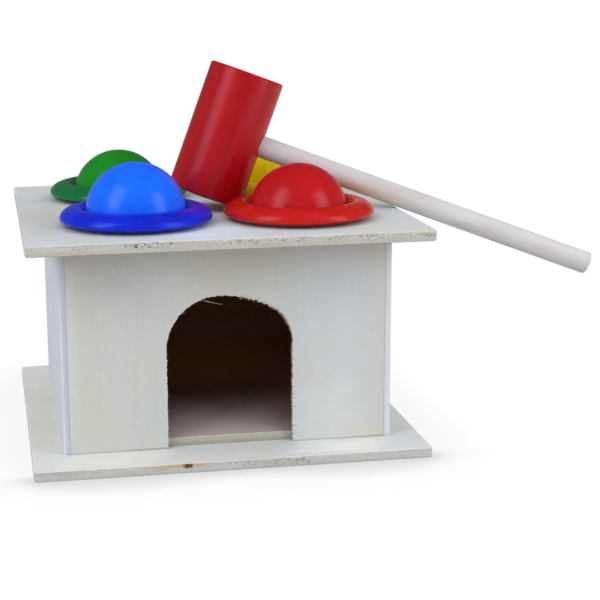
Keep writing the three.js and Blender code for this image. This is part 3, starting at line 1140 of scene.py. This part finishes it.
    def walls(self, inner: Material) -> None:
        """Make the back and the side walls, with painted shade on their front edges where they meet the
        front panel.

        Args:
            inner: The finish of the back wall's inside.
        """
        low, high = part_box("front_panel")
        # The side walls' inner faces are darkened brown: painted shade for the dim inside of the house.
        side_inner = SandedPly("shade_darkened_basswood_side", cool="#7d6a58", warm="#75614f", grain="#5c4a3a",
                               gloss=0.0).material()
        face = SandedPly("basswood_wall", cool="#ccd2dc", warm="#ccd0d4").material()
        edge = SandedPly(
            "wall_edge_with_painted_shade", cool="#d6dbe3", warm="#d5d9df", grain_share=0.08,
            # These darker marks are painted shade on the walls' rounded front edges, deepening towards the
            # joint.
            stains_and_painted_light=marks(1, low.y / MM, 4.0, (low.x / MM, 40.0, 1.9, 300.0, 0.85, 0.9, "#b4bac4"),
                         (high.x / MM, 40.0, 1.0, 300.0, 0.7, 0.9, "#c2c8ce")),
        ).material()
        for name, node, side, hidden in (
            ("back_plywood", "back_panel", Side.BACK, inner),
            ("left_plywood", "left_wall", Side.LEFT, side_inner),
            ("right_plywood", "right_wall", Side.RIGHT, side_inner),
        ):
            PlyBoard(name, node, side, face, edge, hidden).build()

    def ramp(self) -> None:
        """Make the ramp board and the batten under its high end."""
        plank = SandedPly(
            "ramp_basswood_with_painted_light", cool="#b9acab", warm="#b5a7a4", grain="#8f7f78",
            grain_mm=self.ramp_grain_mm, gloss=0.03,
            # Painted light and shade: dark brown over all but the ramp's front, darker patches in its front
            # corners beside the jambs, and warmer, paler glows further back and on the right.
            stains_and_painted_light=(Mark((0.0, 60.0, 20.0), (200.0, 96.5, 200.0), 1.0, 0.26, "#593a2d", 0.02),
                    Mark((31.0, -38.0, 8.0), (14.0, 15.0, 90.0), 0.6, 0.9, "#5d3a2c", 0.05),
                    Mark((-27.0, -24.0, 8.0), (12.0, 18.0, 90.0), 0.4, 0.9, "#4c3c38", 0.05),
                    Mark((0.0, 100.0, 20.0), (200.0, 107.0, 200.0), 1.0, 0.25, "#a96f42", 0.02),
                    Mark((0.0, 62.0, 20.0), (200.0, 32.0, 200.0), 1.0, 0.9, "#d3a68e", 0.02),
                    Mark((40.0, -4.0, 12.0), (22.0, 26.0, 90.0), 0.85, 0.9, "#966559", 0.05)),
        ).material()
        edge = SawnEdge("sawn_ramp_edge", 3.5, 6.6, veneer="#a39f92", core="#b5b2a2", arris="#dcd9cc",
                        torn=0.3).material()
        for name, node in (("ramp_plank", "ramp_board"), ("ramp_strip", "ramp_batten")):
            bm = bmesh.new()
            bm.from_mesh(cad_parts[node].data)
            bmesh.ops.remove_doubles(bm, verts=bm.verts[:], dist=0.001 * MM)
            bmesh.ops.dissolve_limit(bm, angle_limit=math.radians(1), verts=bm.verts[:], edges=bm.edges[:])
            bevel(bm, bm.edges[:], self.ramp_arris_mm, segments=2)
            for face in bm.faces:
                face.material_index = FACE if abs(face.normal.z) > FLAT else EDGE
            make_piece(name, bm, [plank, edge], Body.HOUSE.value, [node])


@dataclass
class Collar:
    """A soft plastic collar: a domed flange rolled under at its rim, a funnel and a ribbed skirt.

    Attributes:
        undercut_mm: How far in and how far up the flange's underside recedes.
        funnel_mm: The funnel's width and height.
        skirt_mm: The skirt's outer radius, and its foot under the roof's top.
        rib_mm: How far the skirt's rib stands out, and its height.
    """

    hue: Hue
    finish: SoftPlastic
    bore_mm: float = 17.8
    outer_mm: float = 26.8
    undercut_mm: Span = (4.4, 2.3)
    lip_mm: float = 0.5
    crest_mm: float = 6.5
    funnel_mm: Span = (2.7, 5.5)
    skirt_mm: Span = (19.1, -3.3)
    rib_mm: Span = (0.3, 0.8)
    steps: int = 128
    arc_steps: int = 12

    def section(self) -> list[Span]:
        """The collar's section along X and Z, in millimetres above the roof."""
        crest = self.bore_mm + self.funnel_mm[0]
        under, under_height = self.undercut_mm
        skirt, foot = self.skirt_mm
        step, height = self.rib_mm
        points = [(self.bore_mm, foot), (skirt, foot), (skirt, foot / 2 - height / 2),
                  (skirt + step, foot / 2), (skirt, foot / 2 + height / 2), (skirt, 0.0),
                  (self.outer_mm - under, 0.0)]
        for centre, radii, start in (
            ((self.outer_mm - self.lip_mm, under_height), (self.lip_mm, self.lip_mm), -0.25),
            ((crest, under_height), (self.outer_mm - crest, self.crest_mm - under_height), 0.0),
            ((crest, self.crest_mm - self.funnel_mm[1]), self.funnel_mm, 0.25),
        ):
            points += quarter(centre, radii, start, self.arc_steps)
        return points

    def build(self) -> Object:
        """Turn the section round its axis and set it in the roof."""
        node = f"ring_{self.hue.value}"
        low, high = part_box(node)
        bm = turned(self.section(), self.steps, closed=True)
        seat = Vector(((low.x + high.x) / 2, (low.y + high.y) / 2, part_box("top_board")[1].z))
        bmesh.ops.translate(bm, verts=bm.verts[:], vec=seat)
        return make_piece(f"{self.hue.value}_collar", bm, [self.finish.material()],
                          Body.HOUSE.value, [node], smooth_deg=40)


@dataclass
class Ball:
    """A turned wooden ball under lacquer."""

    hue: Hue
    finish: Lacquer
    subdivisions: int = 6
    bump_mm: float = 9.0
    uneven_mm: float = 0.04

    def build(self) -> Object:
        """Make the ball where its CAD node lies."""
        node = f"ball_{self.hue.value}"
        low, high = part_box(node)
        bm = bmesh.new()
        bmesh.ops.create_icosphere(bm, subdivisions=self.subdivisions, radius=(high.z - low.z) / 2)
        roughen(bm.verts, lambda p: p.normalized(), self.bump_mm, self.uneven_mm)
        bmesh.ops.translate(bm, verts=bm.verts[:], vec=(low + high) / 2)
        return make_piece(f"{self.hue.value}_lacquered_ball", bm, [self.finish.material()],
                          f"{self.hue.value}_ball", [node], smooth_deg=60)


@dataclass
class Mallet:
    """The mallet: a lacquered turned head with a blind socket, on a bare dowel."""

    roll_deg: float = -5.6
    dip_deg: float = 19.89
    heading_deg: float = -13.6
    head_radius_mm: float = 13.89
    head_length_mm: float = 47.6
    head_round_mm: float = 0.9
    handle_radius_mm: float = 4.0
    handle_from_mm: float = -5.7
    handle_to_mm: float = 141.7
    handle_round_mm: float = 1.2
    socket_radius_mm: float = 4.06
    socket_from_mm: float = -6.0
    steps: int = 128
    arc_steps: int = 6

    def place(self) -> Matrix:
        """Where the mallet lies: its head's axis is local Z and its handle runs along local X."""
        turn = Euler([math.radians(a) for a in (self.roll_deg, self.dip_deg, self.heading_deg)], "XYZ")
        low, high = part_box("hammer_head")
        return Matrix.Translation((low + high) / 2) @ turn.to_matrix().to_4x4()

    def rod(self, radius: float, low: float, high: float, round_mm: float) -> BMesh:
        """A rod along Z with rounded rims.

        Args:
            radius: Its radius in millimetres.
            low: Its lower end along Z in millimetres.
            high: Its upper end along Z in millimetres.
            round_mm: The radius of its rims.

        Returns:
            A closed mesh in metres.
        """
        section = [(0.0, low)]
        for z, start in ((low + round_mm, -0.25), (high - round_mm, 0.0)):
            section += quarter((radius - round_mm, z), (round_mm, round_mm), start, self.arc_steps)
        return turned([*section, (0.0, high)], self.steps, closed=False)

    def build(self) -> None:
        """Make the head and the handle."""
        half = self.head_length_mm / 2
        place = self.place()
        lay = Matrix.Rotation(math.pi / 2, 4, "Y")
        head = self.rod(self.head_radius_mm, -half, half, self.head_round_mm)
        socket = self.rod(self.socket_radius_mm, self.socket_from_mm, 2 * self.head_radius_mm,
                          self.handle_round_mm)
        bmesh.ops.transform(socket, matrix=lay, verts=socket.verts[:])
        head = cut(head, socket)
        bmesh.ops.transform(head, matrix=place, verts=head.verts[:])
        red = Lacquer("red_nitro_lacquer_head", "#b00b12", "#840306", "#ffb6ca", roughness=0.31,
                      streak_mm=(2.2, 2.2, 60.0), drift_mm=(6.0, 6.0, 90.0))
        make_piece("mallet_head", head, [red.material(place)], Body.MALLET.value,
                   ["hammer_head"], smooth_deg=35)
        handle = self.rod(self.handle_radius_mm, self.handle_from_mm, self.handle_to_mm,
                          self.handle_round_mm)
        bmesh.ops.transform(handle, matrix=place @ lay, verts=handle.verts[:])
        dowel = BirchDowel("bare_birch_dowel", stains_and_painted_light=(
            # A paler tan patch on the handle's underside, partway along it.
            Mark((57.0, -3.4, -3.6), (13.0, 4.3, 3.2), 0.75, 0.9, "#e2c499", 0.1),
        ))
        make_piece("mallet_handle", handle, [dowel.material(place)], Body.MALLET.value,
                   ["hammer_handle"], smooth_deg=35)


@dataclass(frozen=True)
class SoftBox:
    """A large soft lamp that faces the toy.

    Its sizes are in metres and its power is in watts. Its azimuth goes from -Y towards +X.
    """

    name: str
    azimuth_deg: float
    elevation_deg: float
    size: Span
    power: float
    colour: str
    distance: float = 0.9

    def build(self, target: Vector) -> None:
        """Hang the lamp so that it faces the target.

        Args:
            target: The point that it lights.
        """
        azimuth = math.radians(self.azimuth_deg)
        elevation = math.radians(self.elevation_deg)
        toward = Vector((math.sin(azimuth) * math.cos(elevation), -math.cos(azimuth) * math.cos(elevation),
                         math.sin(elevation)))
        lamp = bpy.data.lights.new(self.name, "AREA")
        lamp.shape = "RECTANGLE"
        lamp.size, lamp.size_y = self.size
        lamp.energy = self.power
        lamp.color = linear(self.colour)[:3]
        holder = put(self.name, lamp)
        holder.location = target + toward * self.distance
        holder.rotation_euler = (-toward).to_track_quat("-Z", "Y").to_euler()


@dataclass
class Studio:
    """Camera, lamps, floor and world, with sizes in metres where their names don't say otherwise.

    Attributes:
        axis_left_px: How far left of the picture's middle the camera's axis meets it.
        shadow_reach: How near the toy must be to shade the floor.
        front_foot: Between these places along Y the shade in front of the toy gives way to that beside it.
        shadow_aside: The share of the shade that is left there.
        glossy_low: The world's strength in reflections at the horizon.
        glossy_high: The same at glossy_top, most of the way up.
    """

    camera_mm: Size = (-79.82, -538.9, 166.52)
    yaw_deg: float = 8.994
    pitch_deg: float = 12.653
    roll_deg: float = -0.709
    lens_mm: float = 88.247
    sensor_mm: float = 36.0
    nearest: float = 0.01
    axis_left_px: float = 80.0
    image_px: float = 600.0
    floor_size: float = 6.0
    floor_colour: float = 0.62
    shadow_reach: float = 0.035
    shadow_samples: int = 16
    shadow_strength: float = 0.5
    shadow_falloff: float = 0.42
    shadow_most: float = 0.27
    shadow_aside: float = 0.25
    front_foot: Span = (-0.067, -0.06)
    ambient: float = 0.8
    glossy_low: float = 0.19
    glossy_high: float = 0.03
    glossy_top: float = 0.7
    aim_mm: Size = (0.0, 0.0, 60.0)
    lamps: tuple[SoftBox, ...] = (
        SoftBox("left_softbox", -60.0, 34.0, (0.38, 0.8), 3.2, "#f6faff"),
        SoftBox("right_softbox", 52.0, 20.0, (0.36, 0.8), 2.7, "#fafcff"),
    )

    def build(self) -> None:
        """Set up everything that isn't the toy."""
        bpy.context.scene.view_settings.view_transform = "Standard"
        self.camera()
        self.floor()
        self.world()
        for lamp in self.lamps:
            lamp.build(Vector(self.aim_mm) * MM)

    def camera(self) -> None:
        """Stand the camera where the photograph was taken from."""
        data = bpy.data.cameras.new("camera")
        data.lens = self.lens_mm
        data.sensor_width = self.sensor_mm
        data.shift_x = self.axis_left_px / self.image_px
        data.clip_start = self.nearest
        turn = (Matrix.Rotation(-math.radians(self.yaw_deg), 4, "Z")
                @ Matrix.Rotation(math.radians(90 - self.pitch_deg), 4, "X")
                @ Matrix.Rotation(math.radians(self.roll_deg), 4, "Z"))
        camera = put("camera", data)
        camera.matrix_world = Matrix.Translation(Vector(self.camera_mm) * MM) @ turn
        bpy.context.scene.camera = camera

    def floor(self) -> None:
        """Lay a plain floor, white to the camera where the toy doesn't shade it."""
        bm = bmesh.new()
        bmesh.ops.create_grid(bm, x_segments=1, y_segments=1, size=self.floor_size / 2)
        floor = to_object("floor", bm)
        material = bpy.data.materials.new("white_floor")
        add = empty_nodes(material)
        path = add("LightPath").outputs
        seen = add("Math", path["Is Camera Ray"], path["Is Transmission Ray"], operation="MAXIMUM")
        nearby = add("AmbientOcclusion", None, self.shadow_reach, samples=self.shadow_samples)
        shade = add("Math", 1.0, nearby.outputs["AO"], operation="SUBTRACT")
        for operation, amount in (("POWER", self.shadow_falloff), ("MULTIPLY", self.shadow_strength),
                                  ("MINIMUM", self.shadow_most)):
            shade = add("Math", shade, amount, operation=operation)
        axes = add("SeparateXYZ", add("TexCoord").outputs["Object"]).outputs
        front = add("MapRange", axes["Y"], *self.front_foot, 1.0, self.shadow_aside)
        shade = add("Math", shade, front, operation="MULTIPLY")
        level = add("Math", 1.0, shade, operation="SUBTRACT")
        white = add("Emission", linear("#ffffff"), level)
        lit = add("BsdfDiffuse", (self.floor_colour,) * 3 + (1.0,))
        add("OutputMaterial", add("MixShader", seen, lit, white))
        floor.data.materials.append(material)

    def world(self) -> None:
        """White behind the toy, an even glow for diffuse light and a darker ceiling in reflections."""
        world = bpy.data.worlds.new("studio")
        bpy.context.scene.world = world
        add = empty_nodes(world)
        path = add("LightPath").outputs
        height = add("SeparateXYZ", add("TexCoord").outputs["Generated"]).outputs["Z"]
        graded = add("MapRange", height, 0.0, self.glossy_top, self.glossy_low, self.glossy_high)
        unseen = add("Mix", path["Is Glossy Ray"], self.ambient, graded)
        seen = add("Math", path["Is Camera Ray"], path["Is Transmission Ray"], operation="MAXIMUM")
        strength = add("Mix", seen, unseen, 1.0)
        add("OutputWorld", add("Background", linear("#ffffff"), strength))


COLLAR_FINISHES = {
    Hue.BLUE: SoftPlastic("blue_soft_vinyl", "#1223cf", "#0a17ae", "#93c0ff"),
    Hue.RED: SoftPlastic("red_soft_vinyl", "#c41813", "#aa0d0a", "#ffb4b4"),
    Hue.GREEN: SoftPlastic("green_soft_vinyl", "#147039", "#0d5d2d", "#bcf0cc"),
    Hue.YELLOW: SoftPlastic("yellow_soft_vinyl", "#d4b800", "#c0a200", "#fff2a0"),
}
BALL_FINISHES = {
    Hue.BLUE: Lacquer("blue_nitro_lacquer", "#0a68fa", "#085bee", "#bcd8ff"),
    Hue.RED: Lacquer("red_nitro_lacquer", "#bb1114", "#a40b0e", "#ffbccc"),
    Hue.GREEN: Lacquer("green_nitro_lacquer", "#168c1c", "#107a16", "#c8ffd2"),
    Hue.YELLOW: Lacquer("yellow_nitro_lacquer", "#e0cc00", "#cbb600", "#fff2a0"),
}


def main() -> None:
    """Build the studio and the toy."""
    logging.basicConfig(level=logging.INFO, format="%(name)s: %(message)s")
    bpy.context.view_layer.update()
    Studio().build()
    House().build()
    for hue in Hue:
        Collar(hue, COLLAR_FINISHES[hue]).build()
        Ball(hue, BALL_FINISHES[hue]).build()
    Mallet().build()


if __name__ == "__main__":
    main()
